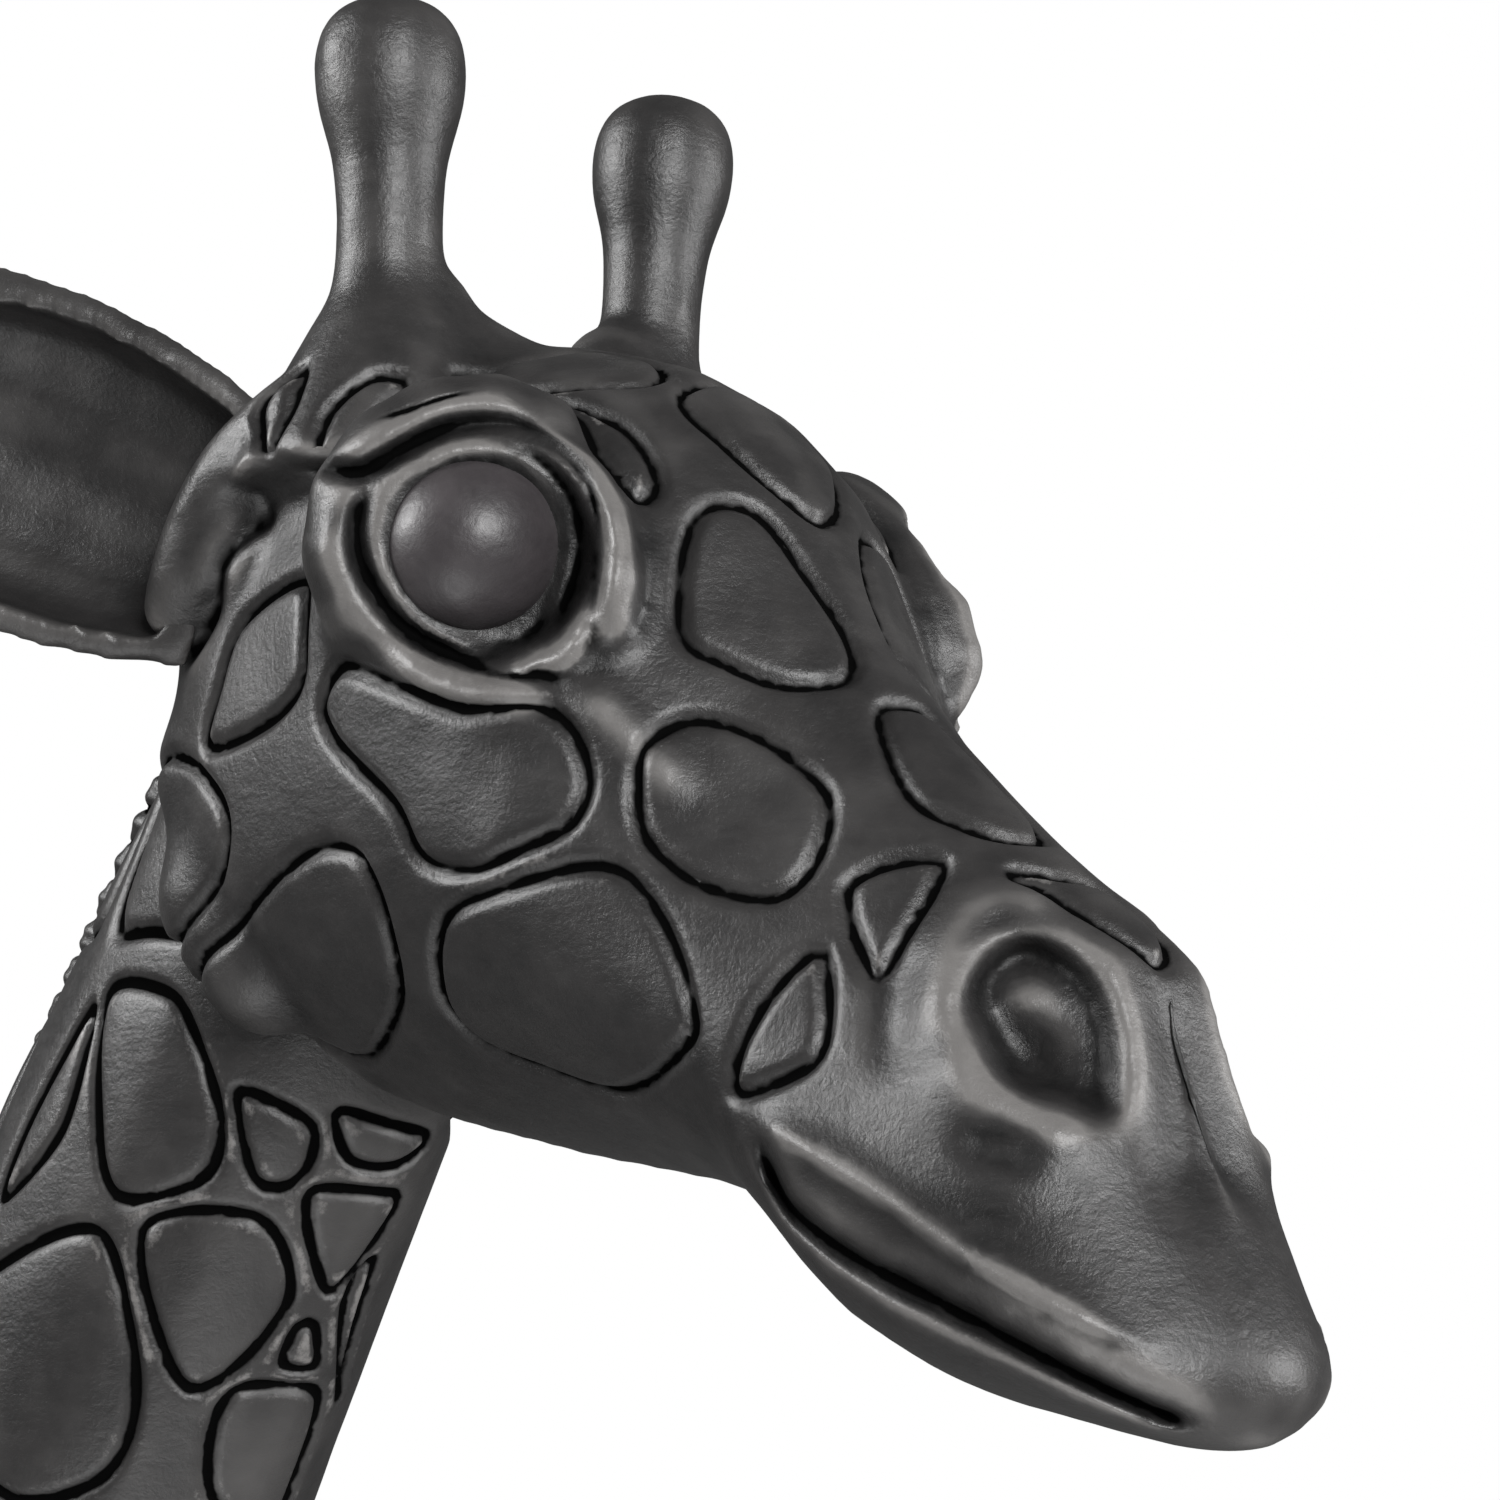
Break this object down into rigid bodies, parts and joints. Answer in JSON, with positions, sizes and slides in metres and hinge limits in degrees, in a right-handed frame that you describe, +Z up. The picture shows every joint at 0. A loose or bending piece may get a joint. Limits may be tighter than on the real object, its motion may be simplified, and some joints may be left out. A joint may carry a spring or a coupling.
{
  "type": "carved giraffe statue",
  "caption": "Free-standing dark carved wooden giraffe on a plinth, with knobbed horns, cupped ears, bulging eyes and grooved coat patches.",
  "frame": {"origin": "centre of the underside of the plinth's felt sheet", "axes": "+Z up, the animal faces -Y, its right side is towards -X"},
  "size_m": [0.25, 0.8677, 1.4931],
  "materials": {
    "dark_wood": "black stained hardwood, waxed to a satin sheen",
    "polished_eye": "black stained hardwood, polished",
    "plinth_wood": "black stained hardwood, satin",
    "peg_wood": "plain turned beech",
    "screw_steel": "zinc plated",
    "felt": "pressed black felt"
  },
  "bodies": {
    "root": {"dowel_back_left": "peg_wood", "dowel_back_right": "peg_wood", "dowel_front_left": "peg_wood", "dowel_front_right": "peg_wood", "dowel_head": "peg_wood", "dowel_neck_back": "peg_wood", "dowel_neck_front": "peg_wood", "ear_left": "dark_wood", "ear_right": "dark_wood", "eye_left": "polished_eye", "eye_right": "polished_eye", "felt_base": "felt", "head": "dark_wood", "horn_left": "dark_wood", "horn_right": "dark_wood", "leg_back_left": "dark_wood", "leg_back_right": "dark_wood", "leg_front_left": "dark_wood", "leg_front_right": "dark_wood", "mane": "dark_wood", "neck": "dark_wood", "plinth": "plinth_wood", "screw_back_left": "screw_steel", "screw_back_right": "screw_steel", "screw_front_left": "screw_steel", "screw_front_right": "screw_steel", "tail": "dark_wood", "trunk": "dark_wood"}
  },
  "joints": []
}
